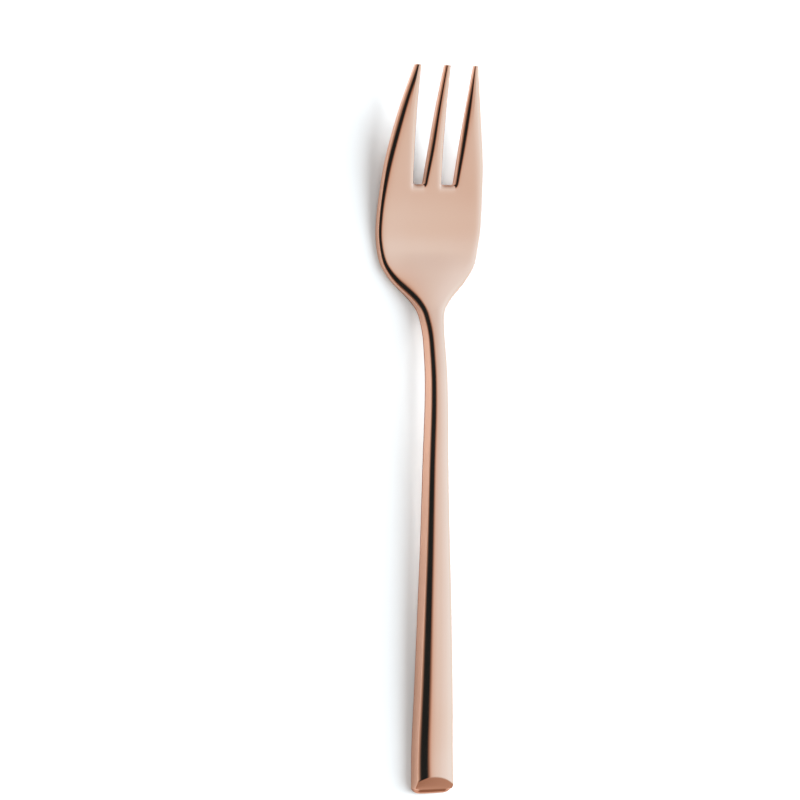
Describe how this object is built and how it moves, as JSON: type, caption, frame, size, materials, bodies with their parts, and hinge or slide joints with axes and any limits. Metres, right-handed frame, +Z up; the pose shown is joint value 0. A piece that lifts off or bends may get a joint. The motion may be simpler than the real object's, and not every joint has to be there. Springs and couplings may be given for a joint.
{
  "type": "cake fork",
  "caption": "One-piece cake fork in copper-finished steel: crowned handle with a bevelled end, arched neck, flat palm and tapered tines.",
  "frame": {"origin": "on the table, under the middle of the fork's length and width", "axes": "+Y along the fork from the handle's end to the tines' tips, +Z up from the table with the fork lying face up, +X to the right when seen from above with the tines pointing away"},
  "size_m": [0.0238, 0.15, 0.0106],
  "materials": {
    "copper_finish": "mirror-polished copper coating on stainless steel"
  },
  "bodies": {
    "root": {"handle": "copper_finish", "neck": "copper_finish", "palm": "copper_finish", "tine_left": "copper_finish", "tine_middle": "copper_finish", "tine_right": "copper_finish"}
  },
  "joints": []
}
